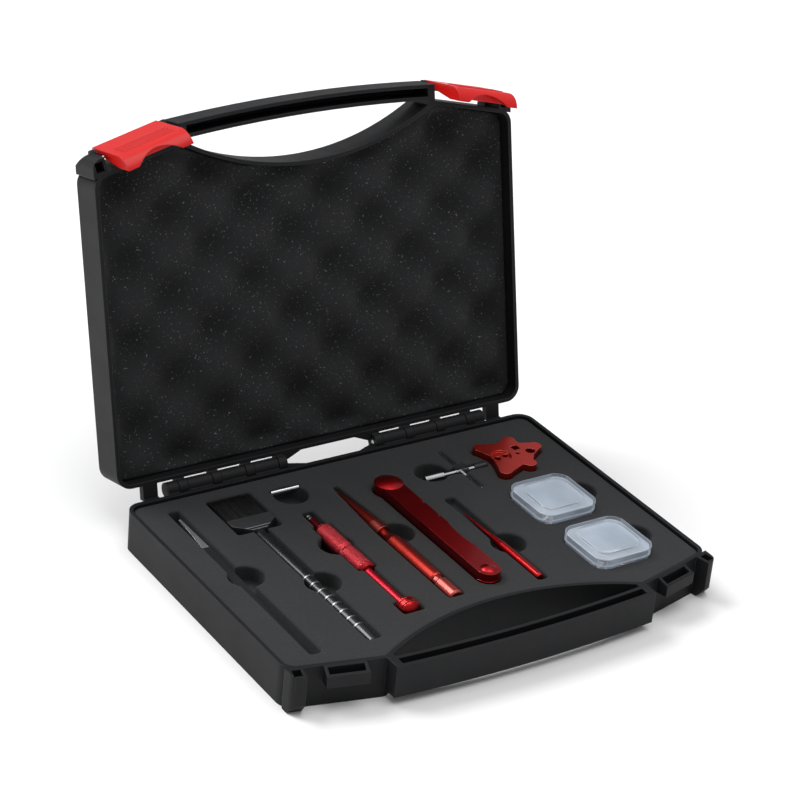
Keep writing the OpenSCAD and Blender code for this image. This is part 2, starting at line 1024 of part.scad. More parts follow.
module brush_bands() {
  color([0.7, 0.7, 0.72])
    at_brush()
      for (k = [0:brush_bands - 1])
        difference() {
          rod(
            band_y + k * band_pitch + band_w, band_y + k * band_pitch,
            brush_r + band_t, brush_r + band_t
          );
          rod(
            band_y + (k + 1) * band_pitch, band_y + (k - 1) * band_pitch,
            brush_r + 0.02, brush_r + 0.02
          );
        }
}

// ---- knurled driver ----

module at_driver() {
  translate([driver_x, 0, driver_z])
    children();
}

module driver_tip() {
  neck_y = grip_y + driver_neck_l;
  color(steel)
    at_driver()
      rod(neck_y + driver_tip_l, neck_y - 5, driver_tip_r, driver_tip_r);
}

module driver_grip() {
  neck_y = grip_y + driver_neck_l;
  mid_y = grip_y - grip_l * 0.55;
  chamfer = 1.2;
  color(red)
    at_driver()
      difference() {
        union() {
          rod(neck_y, grip_y, driver_neck_r - 0.5, driver_neck_r);
          rod(grip_y, grip_y - 3, driver_neck_r + 0.8, grip_r);
          rod(grip_y - 3, mid_y + 2, grip_r, grip_r);
          rod(mid_y + 2, mid_y, grip_r, grip_r - grip_waist);
          rod(mid_y, mid_y - 2, grip_r - grip_waist, grip_r);
          rod(mid_y - 2, grip_end_y + chamfer, grip_r, grip_r);
          rod(grip_end_y + chamfer, grip_end_y, grip_r, grip_r - chamfer);
        }
        rod(neck_y + 1, neck_y - 5.1, driver_tip_r + 0.05, driver_tip_r + 0.05);
        rod(grip_end_y + 6, grip_end_y - 1, spigot_r + 0.05, spigot_r + 0.05);
      }
}

module driver_shaft() {
  stub_y = driver_cap_y - cap_gap;
  color(red)
    at_driver() {
      rod(grip_end_y + 5.9, grip_end_y - 0.1, spigot_r, spigot_r);
      rod(grip_end_y - 0.1, driver_cap_y, driver_shaft_r, driver_shaft_r);
      rod(driver_cap_y, stub_y - cap_hole_l, spigot_r, spigot_r);
    }
}

module driver_swivel_cap() {
  top_y = driver_cap_y - cap_gap;
  dome_l = 3;
  dome_r = (pow(driver_cap_r, 2) + pow(dome_l, 2)) / (2 * dome_l);
  color(red)
    at_driver()
      difference() {
        union() {
          rod(top_y, top_y - 1.4, driver_shaft_r + 0.4, driver_cap_r);
          rod(top_y - 1.4, top_y - driver_cap_l + dome_l, driver_cap_r, driver_cap_r);
          intersection() {
            rod(
              top_y - driver_cap_l + dome_l, top_y - driver_cap_l,
              driver_cap_r, driver_cap_r
            );
            translate([0, top_y - driver_cap_l + dome_r, 0])
              sphere(r = dome_r);
          }
        }
        for (k = [0:1])
          difference() {
            rod(
              top_y - 2.2 - 2 * k * cap_ring_l, top_y - 3 - 2 * k * cap_ring_l,
              driver_cap_r + 1, driver_cap_r + 1
            );
            rod(
              top_y, top_y - driver_cap_l,
              driver_cap_r - cap_groove, driver_cap_r - cap_groove
            );
          }
        rod(top_y + 1, top_y - cap_hole_l - 0.2, spigot_r + 0.06, spigot_r + 0.06);
      }
}

// ---- pen tool ----

module at_pen() {
  translate([pen_x, 0, pen_z])
    children();
}

module pen_nose() {
  color(dark_red)
    at_pen() {
      rod(pen_tip_y, pen_tip_y - 8, 0.4, 1.2);
      rod(pen_tip_y - 8, pen_nose_y, 1.2, pen_r - 0.6);
      rod(pen_nose_y, pen_nose_y - 3, 1.5, 1.5);
    }
}

module pen_collar() {
  color(red)
    at_pen()
      difference() {
        rod(pen_nose_y - 0.05, pen_collar_y, pen_r - 0.3, pen_r - 0.3);
        rod(pen_nose_y + 1, pen_nose_y - 3.1, 1.55, 1.55);
        rod(pen_collar_y + 3.1, pen_collar_y - 1, 1.55, 1.55);
      }
}

module pen_barrel() {
  flare_y = pen_neck_y + pen_flare_l;
  color(dark_red)
    at_pen()
      difference() {
        union() {
          rod(pen_collar_y + 3, pen_collar_y - 0.05, 1.5, 1.5);
          rod(pen_collar_y - 0.05, flare_y, pen_neck_r, pen_neck_r);
          rod(flare_y, pen_neck_y, pen_neck_r, pen_r);
          rod(pen_neck_y, pen_band_y + 1, pen_r, pen_r);
          rod(pen_band_y + 1, pen_band_y, pen_r, pen_r - 0.5);
        }
        rod(pen_band_y + 6, pen_band_y - 1, 1.55, 1.55);
      }
}

module pen_band() {
  color(red)
    at_pen()
      difference() {
        rod(pen_band_y - 0.05, pen_cap_y + 0.05, pen_r - 0.9, pen_r - 0.9);
        rod(pen_band_y + 1, pen_cap_y - 1, 1.55, 1.55);
      }
}

module pen_end_cap() {
  color(red)
    at_pen() {
      rod(pen_band_y + 5.9, pen_cap_y, 1.5, 1.5);
      rod(pen_cap_y, pen_cap_y - 1, pen_r - 0.6, pen_r);
      rod(pen_cap_y - 1, pen_end_y + 0.8, pen_r, pen_r);
      rod(pen_end_y + 0.8, pen_end_y, pen_r, pen_r - 0.8);
    }
}

// ---- wrench ----

module wrench_plan() {
  difference() {
    union() {
      strip(0, drum_y, wrench_end_y, wrench_w);
      translate([0, wrench_end_y])
        circle(r = wrench_w / 2);
    }
    translate([wrench_w / 2 - notch_t + waist_r, waist_y - waist_l])
      circle(r = waist_r);
    for (y = [waist_y + 8, waist_y - 6])
      translate([wrench_w / 2 - notch_t, y])
        square([notch_t + 1, notch_w]);
  }
}

module wrench_bar() {
  color(red)
    translate([wrench_x, 0, wrench_z])
      difference() {
        linear_extrude(wrench_t)
          wrench_plan();
        translate([0, drum_y, -1])
          cylinder(h = wrench_t + 2, r = drum_r + 0.05);
        translate([0, wrench_end_y, wrench_t - 1.5])
          cylinder(h = 2, r = pad_r + 0.05);
        translate([0, wrench_end_y, wrench_t * 0.45])
          difference() {
            cylinder(h = 0.7, r = wrench_w);
            translate([0, 0, -1])
              cylinder(h = 3, r = wrench_w / 2 - 0.6);
            block(-wrench_w, wrench_w, 0, 2 * wrench_w, -1, 2);
          }
      }
}

module wrench_drum() {
  color(dark_red)
    translate([wrench_x, drum_y, wrench_z])
      intersection() {
        cylinder(h = wrench_t + drum_dome, r = drum_r);
        translate([0, 0, wrench_t + drum_dome - drum_dome_r])
          sphere(r = drum_dome_r);
      }
}

module wrench_end_pad() {
  color(red)
    translate([wrench_x, wrench_end_y, wrench_top - 1.45])
      intersection() {
        cylinder(h = 1.45 + pad_h, r = pad_r);
        translate([0, 0, 1.45 + pad_h - pad_dome_r])
          sphere(r = pad_dome_r);
      }
}

// ---- pick ----

module pick_handle() {
  shoulder_y = pick_end_y + pick_l - pick_tip_l;
  color(dark_red)
    translate([pick_x, 0, pick_z])
      difference() {
        union() {
          rod(shoulder_y, shoulder_y - 10, pick_r * 0.6, pick_r);
          rod(shoulder_y - 10, pick_end_y + 1, pick_r, pick_r);
          rod(pick_end_y + 1, pick_end_y, pick_r, pick_r - 0.6);
        }
        rod(shoulder_y + 1, shoulder_y - 6.1, 0.75, 0.75);
      }
}

module pick_point() {
  shoulder_y = pick_end_y + pick_l - pick_tip_l;
  color(red)
    translate([pick_x, 0, pick_z]) {
      rod(pick_end_y + pick_l, shoulder_y, 0.3, pick_r * 0.55);
      rod(shoulder_y, shoulder_y - 6, 0.7, 0.7);
    }
}

// ---- pin press ----

module at_press() {
  translate([0, press_y, press_z])
    children();
}

module press_spindle() {
  color(steel)
    at_press() {
      cross_rod(press_x0 + 1, press_block_x - press_block_w / 2 + 1, spindle_r);
      cross_rod(press_block_x + press_block_w / 2 - 1, press_x1 - 1, spindle_r);
    }
}

module press_sleeve() {
  color(steel)
    at_press()
      difference() {
        cross_rod(press_x0, press_x0 + sleeve_l, sleeve_r);
        cross_rod(press_x0 + 0.9, press_x0 + sleeve_l + 1, spindle_r + sleeve_gap);
      }
}

module press_block() {
  half = press_block_w / 2;
  color(steel)
    at_press()
      difference() {
        block(
          press_block_x - half, press_block_x + half, -half, half, -half, half
        );
        for (x = [press_block_x - half, press_block_x + half - 1.1])
          cross_rod(x, x + 1.1, spindle_r + sleeve_gap);
        translate([press_block_x, 0, 0])
          rod(half + 1, -half - 1, tommy_r + tommy_gap, tommy_r + tommy_gap);
      }
}

module press_knob() {
  color(black)
    at_press()
      difference() {
        cross_rod(press_x1 - knob_l, press_x1, knob_r);
        cross_rod(press_x1 - knob_l - 1, press_x1 - 0.9, spindle_r + sleeve_gap);
      }
}

module press_tommy_bar() {
  color(steel)
    at_press()
      translate([press_block_x, 0, 0])
        rod(tommy_l / 2, -tommy_l / 2, tommy_r, tommy_r);
}

// ---- star wrench ----

// One lobe of the star, from its middle out to the given reach.
module star_lobe(reach, grow) {
  arm = reach - star_tip_r;
  translate([arm, 0])
    circle(r = star_tip_r + grow);
  polygon([
    [0, -star_core_r - grow],
    [arm, -star_tip_r - grow],
    [arm, star_tip_r + grow],
    [0, star_core_r + grow]
  ]);
}

module star_outline(grow) {
  for (lobe = star_lobes)
    rotate(lobe.x)
      star_lobe(star_r * lobe.y, grow);
  circle(r = star_core_r + grow);
}

module star_hole(x, y, rad) {
  translate([x, y, -1])
    cylinder(h = star_t + 2, r = rad);
}

module star_wrench() {
  color(red)
    translate([star_x, star_y, star_z])
      difference() {
        linear_extrude(star_t)
          star_outline(0);
        translate([-6, 0, star_t - star_recess])
          cylinder(h = star_t, r = 5.4);
        star_hole(-8.4, 0, 1.9);
        star_hole(-3.2, 0.6, 1.5);
        translate([5.5, 4, star_t / 2])
          cube([star_square, star_square, star_t + 2], center = true);
        star_hole(3.3, -1.4, 1.1);
        star_hole(11, -1.8, 2.6);
      }
}

// ---- clear boxes ----

module box_base_solid() {
  difference() {
    union() {
      translate([0, 0, box_z])
        linear_extrude(box_seam_z - box_z)
          rounded_square(box_w, box_r);
      block(
        -box_tab_w / 2, box_tab_w / 2, box_w / 2 - box_wall, box_hinge_y,
        box_seam_z - box_tab_t, box_seam_z
      );
    }
    translate([0, 0, box_z + box_wall])
      linear_extrude(box_h)
        rounded_square(box_w - 2 * box_wall, box_r - box_wall);
  }
}

module box_lid_body(inset) {
  roof = box_top - inset;
  skirt_z = roof - box_step;
  floor_z = box_seam_z + box_lid_gap - (inset > 0 ? 1 : 0);
  translate([0, 0, floor_z])
    linear_extrude(skirt_z - floor_z)
      rounded_square(box_lip_w - 2 * inset, box_r + box_skirt - inset);
  intersection() {
    translate([0, 0, skirt_z - 1])
      linear_extrude(box_step + 1)
        rounded_square(box_pad_w - 2 * inset, box_r - inset);
    translate([0, 0, roof - box_dome_r])
      sphere(r = box_dome_r);
  }
}

module box_lid_solid() {
  lid_z = box_seam_z + box_lid_gap;
  difference() {
    union() {
      box_lid_body(0);
      block(
        -box_tab_w / 2, box_tab_w / 2, box_w / 2 - box_wall, box_hinge_y,
        lid_z, lid_z + box_tab_t
      );
    }
    box_lid_body(box_wall);
  }
}

module rear_box_base() {
  color(clear)
    translate([box_x, box_rear_y, 0])
      box_base_solid();
}

module rear_box_lid() {
  color(clear)
    translate([box_x, box_rear_y, 0])
      box_lid_solid();
}

module front_box_base() {
  color(clear)
    translate([box_x, box_front_y, 0])
      box_base_solid();
}

module front_box_lid() {
  color(clear)
    translate([box_x, box_front_y, 0])
      box_lid_solid();
}

module rear_box_cap() {
  color("white")
    translate([box_x - 4, box_rear_y + 3, box_z + box_wall + 0.02])
      difference() {
        union() {
          cylinder(h = 1, r = 4);
          cylinder(h = 4, r = 2.6);
        }
        translate([0, 0, 1])
          cylinder(h = 4, r = 1.5);
      }
}

module loose_bit(x, y, turn) {
  translate([box_x + x, box_front_y + y, box_z + box_wall + bit_r + 0.02])
    rotate([0, 0, turn]) {
      rod(bit_l / 2, -bit_l / 2 + 3, bit_r * 0.6, bit_r * 0.6);
      rod(-bit_l / 2 + 3, -bit_l / 2, bit_r, bit_r);
    }
}

module front_box_steel_bits() {
  color(steel) {
    loose_bit(-9, 2, 20);
    loose_bit(-4, -4, -55);
    loose_bit(8, 6, 75);
    loose_bit(6, -9, 10);
  }
}

module front_box_brass_bits() {
  color([0.8, 0.62, 0.3]) {
    loose_bit(1, 5, 30);
    loose_bit(11, -2, -15);
  }
}

module short_steel_pin() {
  color(steel)
    translate([0, pin_y, pin_z])
      cross_rod(pin_x - pin_l / 2, pin_x + pin_l / 2, pin_r);
}

base_shell();
hinge_pins();
lid_shell();
lid_foam();
tray_foam();
latch_left();
latch_right();
latch_pins();
tweezers_lower_arm();
tweezers_upper_arm();
tweezers_heel_block();
brush_bristles();
brush_ferrule();
brush_handle();
brush_bands();
driver_tip();
driver_grip();
driver_shaft();
driver_swivel_cap();
pen_nose();
pen_collar();
pen_barrel();
pen_band();
pen_end_cap();
wrench_bar();
wrench_drum();
wrench_end_pad();
pick_handle();
pick_point();
press_spindle();
press_sleeve();
press_block();
press_knob();
press_tommy_bar();
star_wrench();
short_steel_pin();
rear_box_base();
rear_box_lid();
rear_box_cap();
front_box_base();
front_box_lid();
front_box_steel_bits();
front_box_brass_bits();
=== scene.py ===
import json
import math
import random

import bpy
from mathutils import Matrix, Vector


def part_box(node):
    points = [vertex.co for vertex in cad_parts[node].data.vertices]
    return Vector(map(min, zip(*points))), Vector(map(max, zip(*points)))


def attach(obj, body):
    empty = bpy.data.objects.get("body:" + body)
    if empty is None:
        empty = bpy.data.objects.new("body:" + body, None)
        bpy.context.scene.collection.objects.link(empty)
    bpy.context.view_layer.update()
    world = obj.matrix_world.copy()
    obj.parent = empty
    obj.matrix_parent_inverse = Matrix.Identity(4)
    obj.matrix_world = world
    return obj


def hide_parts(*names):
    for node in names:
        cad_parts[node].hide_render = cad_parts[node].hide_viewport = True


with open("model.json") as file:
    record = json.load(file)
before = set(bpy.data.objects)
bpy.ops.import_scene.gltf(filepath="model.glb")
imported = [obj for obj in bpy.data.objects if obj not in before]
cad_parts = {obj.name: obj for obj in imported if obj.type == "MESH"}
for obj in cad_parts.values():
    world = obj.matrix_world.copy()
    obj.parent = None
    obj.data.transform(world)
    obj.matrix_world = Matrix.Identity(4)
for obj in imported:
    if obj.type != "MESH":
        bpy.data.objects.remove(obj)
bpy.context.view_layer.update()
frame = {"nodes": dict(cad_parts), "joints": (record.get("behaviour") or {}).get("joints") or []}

joints = {joint["name"]: joint for joint in frame["joints"]}


# ---- base and lid shells ----
# Two shallow trays moulded in black polypropylene with a fine spark-eroded grain.
# Each carries half of the handle on its front wall and half of the hinge barrels
# at its back, and the moulded edges are slightly polished by use.

class Wire:
    """A value on its way through a material: sums and products of wires become Math nodes."""

    def __init__(self, tree, socket):
        self.tree = tree
        self.socket = socket

    def math(self, operation, *values):
        made = self.tree.nodes.new("ShaderNodeMath")
        made.operation = operation
        for socket, value in zip(made.inputs, values):
            plug(self.tree, socket, value)
        return Wire(self.tree, made.outputs[0])

    def __add__(self, other):
        return self.math("ADD", self, other)

    def __radd__(self, other):
        return self.math("ADD", other, self)

    def __sub__(self, other):
        return self.math("SUBTRACT", self, other)

    def __rsub__(self, other):
        return self.math("SUBTRACT", other, self)

    def __mul__(self, other):
        return self.math("MULTIPLY", self, other)

    def __rmul__(self, other):
        return self.math("MULTIPLY", other, self)

    def __pow__(self, other):
        return self.math("POWER", self, other)


def plug(tree, socket, value):
    """A wire is linked to the socket, and anything else becomes the socket's own value."""
    if isinstance(value, Wire):
        tree.links.new(value.socket, socket)
    elif socket.type == "RGBA":
        socket.default_value = (*value, 1.0)
    else:
        socket.default_value = value


class Finish:
    """A surface finish on one Principled shader, worked out from places on the part."""

    def __init__(self, name, constants):
        self.material = bpy.data.materials.new(name)
        self.material.use_nodes = True
        self.tree = self.material.node_tree
        self.shader = self.tree.nodes["Principled BSDF"]
        self.wear(constants)
        self.place = self.node("TexCoord", {}, {}, "Object")

    def node(self, kind, settings, inputs, out=0):
        made = self.tree.nodes.new("ShaderNode" + kind)
        for key, value in settings.items():
            if key == "stops":
                while len(made.color_ramp.elements) < len(value):
                    made.color_ramp.elements.new(0.5)
                for element, (position, colour) in zip(made.color_ramp.elements, value):
                    element.position = position
                    element.color = (*colour, 1.0)
            else:
                setattr(made, key, value)
        for socket, value in inputs.items():
            plug(self.tree, made.inputs[socket], value)
        return Wire(self.tree, made.outputs[out])

    def wear(self, inputs):
        for socket, value in inputs.items():
            plug(self.tree, self.shader.inputs[socket], value)

    def stretched(self, x, y, z):
        return self.node("VectorMath", {"operation": "MULTIPLY"}, {0: self.place, 1: (x, y, z)})

    def noise(self, scale, detail=2.0, place=None):
        inputs = {"Vector": place or self.place, "Scale": scale, "Detail": detail}
        return self.node("TexNoise", {}, inputs, "Fac")

    def cells(self, scale, place=None):
        inputs = {"Vector": place or self.place, "Scale": scale}
        return self.node("TexVoronoi", {}, inputs, "Distance")

    def along(self, axis):
        return self.node("SeparateXYZ", {}, {"Vector": self.place}, axis)

    def step(self, value, low, high):
        inputs = {"Value": value, "From Min": low, "From Max": high}
        return self.node("MapRange", {"interpolation_type": "SMOOTHSTEP"}, inputs)

    def mix(self, share, first, second):
        inputs = {0: share, 6: first, 7: second}
        return self.node("Mix", {"data_type": "RGBA"}, inputs, 2)

    def rounded(self, radius):
        return self.node("Bevel", {"samples": 4}, {"Radius": radius}, "Normal")

    def rubbed(self, rounded_normal, gain):
        face = self.node("NewGeometry", {}, {}, "Normal")
        turn = self.node("VectorMath", {"operation": "DOT_PRODUCT"}, {0: rounded_normal, 1: face}, 1)
        return self.step(1 - turn, 0.0, 1 / gain)

    def relief(self, height, depth, under):
        inputs = {"Height": height, "Distance": depth, "Normal": under, "Strength": 1.0}
        return self.node("Bump", {}, inputs)


def dress(finish, *nodes):
    """Gives CAD nodes their finish."""
    for node in nodes:
        for material_slot in frame["nodes"][node].material_slots:
            material_slot.material = finish.material


case = Finish("case plastic", {"Specular IOR Level": 0.2})
case_edge = case.rounded(0.0007)
case_rub = case.rubbed(case_edge, 5)
case_cloud = case.noise(45, 4.0)
case_grain = case.noise(2600, 2.0)
case_smear = case.noise(1.0, 3.0, case.stretched(220, 60, 90))
case_tone = case.mix(case_cloud, (0.0070, 0.0073, 0.0082), (0.0115, 0.012, 0.0132))
case.wear({
    "Base Color": case.mix(case_rub * 0.55, case_tone, (0.05, 0.051, 0.054)),
    "Roughness": 0.44 + case_smear * 0.14 + case_grain * 0.08 - case_rub * 0.12,
    "Normal": case.relief(case_grain, 0.00006, case_edge),
})
dress(case, "base_shell", "lid_shell")


# ---- hinge and latch pins ----
# Lengths of drawn steel wire pressed into the hinge barrels and the latch ears.
# Only their ends show, sheared square and slightly dulled.

wire_steel = Finish("drawn steel wire", {"Metallic": 1.0})
wire_edge = wire_steel.rounded(0.0002)
wire_drawn = wire_steel.noise(1.0, 3.0, wire_steel.stretched(300, 4200, 4200))
wire_steel.wear({
    "Base Color": wire_steel.mix(wire_drawn, (0.42, 0.42, 0.43), (0.62, 0.62, 0.63)),
    "Roughness": 0.25 + wire_drawn * 0.2,
    "Normal": wire_steel.relief(wire_drawn, 0.00001, wire_edge),
})
dress(wire_steel, "hinge_pins", "latch_pins")


# ---- tray foam ----
# A block of grey-black closed-cell EVA foam, water-jet cut with one pocket per tool
# and round finger cuts, and pressed into the base. The cut edges are soft and a
# little rounded, and the open cells of the cut give it a fine grain.

def soften(name, node, cell, passes):
    """A soft copy of a CAD block: small even facets, with the sharp edges eased."""
    piece = bpy.data.objects.new(name, frame["nodes"][node].data.copy())
    bpy.context.scene.collection.objects.link(piece)
    remesh = piece.modifiers.new("cells", "REMESH")
    remesh.mode = "VOXEL"
    remesh.voxel_size = cell
    remesh.use_smooth_shade = True
    ease = piece.modifiers.new("eased", "SMOOTH")
    ease.factor = 0.5
    ease.iterations = passes
    shaped = piece.evaluated_get(bpy.context.evaluated_depsgraph_get())
    mesh = bpy.data.meshes.new_from_object(shaped)
    mesh.name = name
    piece.modifiers.clear()
    piece.data = mesh
    return piece


def foam_finish(name, dark, light, pore, fleck, pit_shade):
    """Cut foam: tiny cells over a slow change of tone, with a few open cells that catch the light, and
    painted shade darkening the pits where their depth is stored.
    """
    foam = Finish(name, {"Specular IOR Level": 0.25, "Sheen Weight": 0.06, "Sheen Roughness": 0.5})
    pores = foam.cells(pore)
    cloud = foam.noise(38, 4.0)
    grit = foam.noise(pore * 1.7, 3.0)
    flecks = foam.step(foam.noise(pore * 0.8, 1.0), 0.66, 0.78)
    pit = foam.node("Attribute", {"attribute_name": "pit"}, {}, "Fac")
    # The stored pit depth darkens the tone: painted shade in the pits.
    tone_and_pit_shade = foam.mix(pit * pit_shade, foam.mix(cloud * 0.5 + grit * 0.5, dark, light), dark)
    plain = foam.node("NewGeometry", {}, {}, "Normal")
    foam.wear({
        "Base Color": foam.mix(flecks * fleck, tone_and_pit_shade, (0.16, 0.165, 0.17)),
        "Roughness": 0.84 + grit * 0.14,
        "Normal": foam.relief(pores * 0.6 + grit * 0.4 + foam.noise(160, 2.0) * 0.8, 0.00025, plain),
    })
    return foam.material


tray_foam = soften("cut_tray_foam", "tray_foam", 0.00075, 2)
tray_foam.data.materials.clear()
tray_foam.data.materials.append(
    foam_finish("tray foam", (0.0175, 0.0185, 0.0195), (0.034, 0.035, 0.0365), 1900, 0.2, 0.0)
)
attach(tray_foam, "base")
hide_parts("tray_foam")


# ---- lid foam ----
# A sheet of open-cell polyurethane foam, convoluted into staggered pits and rounded
# peaks so that it presses lightly on the tools. It is stuck into the lid. The pits are also painted darker,
# as painted shade.

pit_pitch = (0.046, 0.042)
pit_origin = (-0.0575, 0.008)
pit_depth = 0.0068
peak_proud = 0.0010
fade_depth = 0.0080

lid_foam = soften("convoluted_lid_foam", "lid_foam", 0.0012, 3)
lid_hinge = joints["lid_hinge"]
pivot = Matrix.Translation(Vector(lid_hinge["pos_m"]))
to_shut = pivot @ Matrix.Rotation(math.radians(-lid_hinge["range_deg"][0]), 4, "X") @ pivot.inverted()
lid_foam.data.transform(to_shut)
# Each point keeps how deep it lies in a pit, and that darkens the foam's colour as painted shade.
shade = lid_foam.data.attributes.new("pit", "FLOAT", "POINT").data
foam_face = min(vertex.co.z for vertex in lid_foam.data.vertices)
foam_x = max(vertex.co.x for vertex in lid_foam.data.vertices)
foam_y = [
    min(vertex.co.y for vertex in lid_foam.data.vertices),
    max(vertex.co.y for vertex in lid_foam.data.vertices),
]
for vertex in lid_foam.data.vertices:
    x, y, z = vertex.co
    wave_x = math.cos(2 * math.pi * (x - pit_origin[0]) / pit_pitch[0])
    wave_y = math.cos(2 * math.pi * (y - pit_origin[1]) / pit_pitch[1])
    pit = ((1 + wave_x * wave_y) / 2) ** 1.35
    inside = min(1.0, (foam_x - abs(x)) / 0.006, (y - foam_y[0]) / 0.006, (foam_y[1] - y) / 0.006)
    share = max(0.0, 1 - (z - foam_face) / fade_depth) * max(0.0, inside)
    vertex.co.z = z + share * (pit * pit_depth - (1 - pit) * peak_proud)
    shade[vertex.index].value = pit * share
lid_foam.data.transform(to_shut.inverted())
lid_foam.data.materials.clear()
lid_foam.data.materials.append(
    foam_finish("lid foam", (0.008, 0.0085, 0.009), (0.026, 0.027, 0.0285), 1300, 0.9, 0.85)
)
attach(lid_foam, "lid")
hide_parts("lid_foam")


# ---- swing latches ----
# Two hook latches moulded in signal red, pinned between ears on the front of the lid.
# The plastic is semi-gloss, with faint flow marks and rubbed edges.

latch = Finish("signal red plastic", {"Specular IOR Level": 0.4})
latch_edge = latch.rounded(0.0006)
latch_rub = latch.rubbed(latch_edge, 4)
latch_flow = latch.noise(1.0, 3.0, latch.stretched(60, 240, 60))
latch_skin = latch.noise(1800, 2.0)
latch_tone = latch.mix(latch_flow, (0.56, 0.004, 0.003), (0.70, 0.007, 0.005))
latch.wear({
    "Base Color": latch.mix(latch_rub * 0.4, latch_tone, (0.78, 0.05, 0.035)),
    "Roughness": 0.27 + latch_flow * 0.12 + latch_skin * 0.06,
    "Normal": latch.relief(latch_skin, 0.00002, latch_edge),
})
dress(latch, "latch_left", "latch_right")


# ---- tweezers ----
# Two spring-steel strips welded to a heel block and coated black. The last part of
# each point is ground back to bare steel.

ground_length = 0.026
coat_black = Finish("black coated steel", {"Specular IOR Level": 0.5})
tweezer_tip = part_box("tweezers_lower_arm")[1].y
black_edge = coat_black.rounded(0.0002)
black_rub = coat_black.rubbed(black_edge, 4)
black_grit = coat_black.noise(2400, 2.0)
ground_marks = coat_black.noise(1.0, 3.0, coat_black.stretched(5200, 260, 5200))
ground_line = coat_black.along("Y") + coat_black.noise(420, 2.0) * 0.0016
bare = coat_black.step(ground_line, tweezer_tip - ground_length, tweezer_tip - ground_length + 0.0012)
black_tone = coat_black.mix(black_grit, (0.009, 0.009, 0.010), (0.016, 0.016, 0.017))
coat_tone = coat_black.mix(black_rub * 0.7, black_tone, (0.13, 0.13, 0.135))
steel_tone = coat_black.mix(ground_marks, (0.58, 0.58, 0.59), (0.78, 0.78, 0.79))
coat_black.wear({
    "Base Color": coat_black.mix(bare, coat_tone, steel_tone),
    "Metallic": bare,
    "Roughness": 0.33 + black_grit * 0.1 - bare * 0.08 + ground_marks * bare * 0.16,
    "Normal": coat_black.relief(black_grit * 0.6 + ground_marks * 0.4, 0.00002, black_edge),
})
dress(coat_black, "tweezers_lower_arm", "tweezers_upper_arm", "tweezers_heel_block")


# ---- flat brush ----
# A tapered plastic handle with silvered rings, a dark pressed ferrule crimped over its
# end, and a flat tuft of stiff black nylon filaments set in the ferrule's mouth.

filament_rows = (62, 15)
filament_r = 0.00021
filament_steps = 5

tuft_low, tuft_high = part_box("brush_bristles")
tuft_random = random.Random(7)
tuft_points, tuft_faces = [], []
for column in range(filament_rows[0]):
    for row in range(filament_rows[1]):
        share_x = (column + 0.5 + tuft_random.uniform(-0.35, 0.35)) / filament_rows[0]
        share_z = (row + 0.5 + tuft_random.uniform(-0.35, 0.35)) / filament_rows[1]
        root_x = tuft_low.x + 0.0006 + share_x * (tuft_high.x - tuft_low.x - 0.0012)
        root_z = tuft_low.z + 0.0006 + share_z * (tuft_high.z - tuft_low.z - 0.0012)
        lean_x = (share_x - 0.5) * 0.0009 + tuft_random.gauss(0, 0.00022)
        lean_z = (share_z - 0.5) * 0.0009 + tuft_random.gauss(0, 0.00022)
        end_y = tuft_high.y - tuft_random.uniform(0.0, 0.0011)
        bow = tuft_random.gauss(0, 0.00012)
        first = len(tuft_points)
        for step in range(filament_steps + 1):
            t = step / filament_steps
            centre = Vector((
                root_x + lean_x * t * t + bow * math.sin(math.pi * t),
                tuft_low.y + (end_y - tuft_low.y) * t,
                root_z + lean_z * t * t,
            ))
            girth = filament_r * (1 - 0.35 * t)
            for side in range(3):
                turn = 2 * math.pi * side / 3 + column
                tuft_points.append(centre + Vector((girth * math.cos(turn), 0, girth * math.sin(turn))))
        for step in range(filament_steps):
            for side in range(3):
                a = first + step * 3 + side
                b = first + step * 3 + (side + 1) % 3
                tuft_faces.append((a, b, b + 3, a + 3))
        last = first + filament_steps * 3
        tuft_faces.append((last, last + 1, last + 2))


def piece_of(name, points, faces, finish, smooth=True):
    """A new piece from points and faces, linked into the scene with its finish."""
    mesh = bpy.data.meshes.new(name)
    mesh.from_pydata([tuple(point) for point in points], [], faces)
    mesh.materials.append(finish.material)
    for polygon in mesh.polygons:
        polygon.use_smooth = smooth
    mesh.update()
    piece = bpy.data.objects.new(name, mesh)
    bpy.context.scene.collection.objects.link(piece)
    return piece


nylon = Finish("black nylon filament", {"Specular IOR Level": 0.5})
nylon_strand = nylon.noise(1.0, 2.0, nylon.stretched(2600, 40, 2600))
nylon.wear({
    "Base Color": nylon.mix(nylon_strand, (0.004, 0.004, 0.005), (0.018, 0.0175, 0.018)),
    "Roughness": 0.34 + nylon_strand * 0.2,
    "Normal": nylon.relief(nylon_strand, 0.00003, nylon.node("NewGeometry", {}, {}, "Normal")),
})
tuft = piece_of("bristle_tuft", tuft_points, tuft_faces, nylon)
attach(tuft, "brush")
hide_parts("brush_bristles")

ferrule = Finish("dark pressed ferrule", {"Metallic": 1.0})
ferrule_edge = ferrule.rounded(0.0003)
ferrule_brushed = ferrule.noise(1.0, 3.0, ferrule.stretched(260, 3800, 260))
ferrule_low, ferrule_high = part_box("brush_ferrule")
crimp_run = (ferrule.along("Y") - (ferrule_low.y + 0.0018)) * (1 / 0.0011)
crimp = crimp_run.math("PINGPONG", crimp_run, 1.0)
crimp_zone = 1 - ferrule.step(ferrule.along("Y"), ferrule_low.y + 0.0040, ferrule_low.y + 0.0046)
ferrule.wear({
    "Base Color": ferrule.mix(ferrule_brushed, (0.16, 0.163, 0.17), (0.27, 0.275, 0.285)),
    "Roughness": 0.30 + ferrule_brushed * 0.18,
    "Normal": ferrule.relief(crimp * crimp_zone * 6 + ferrule_brushed * 0.3, 0.00005, ferrule_edge),
})
dress(ferrule, "brush_ferrule")

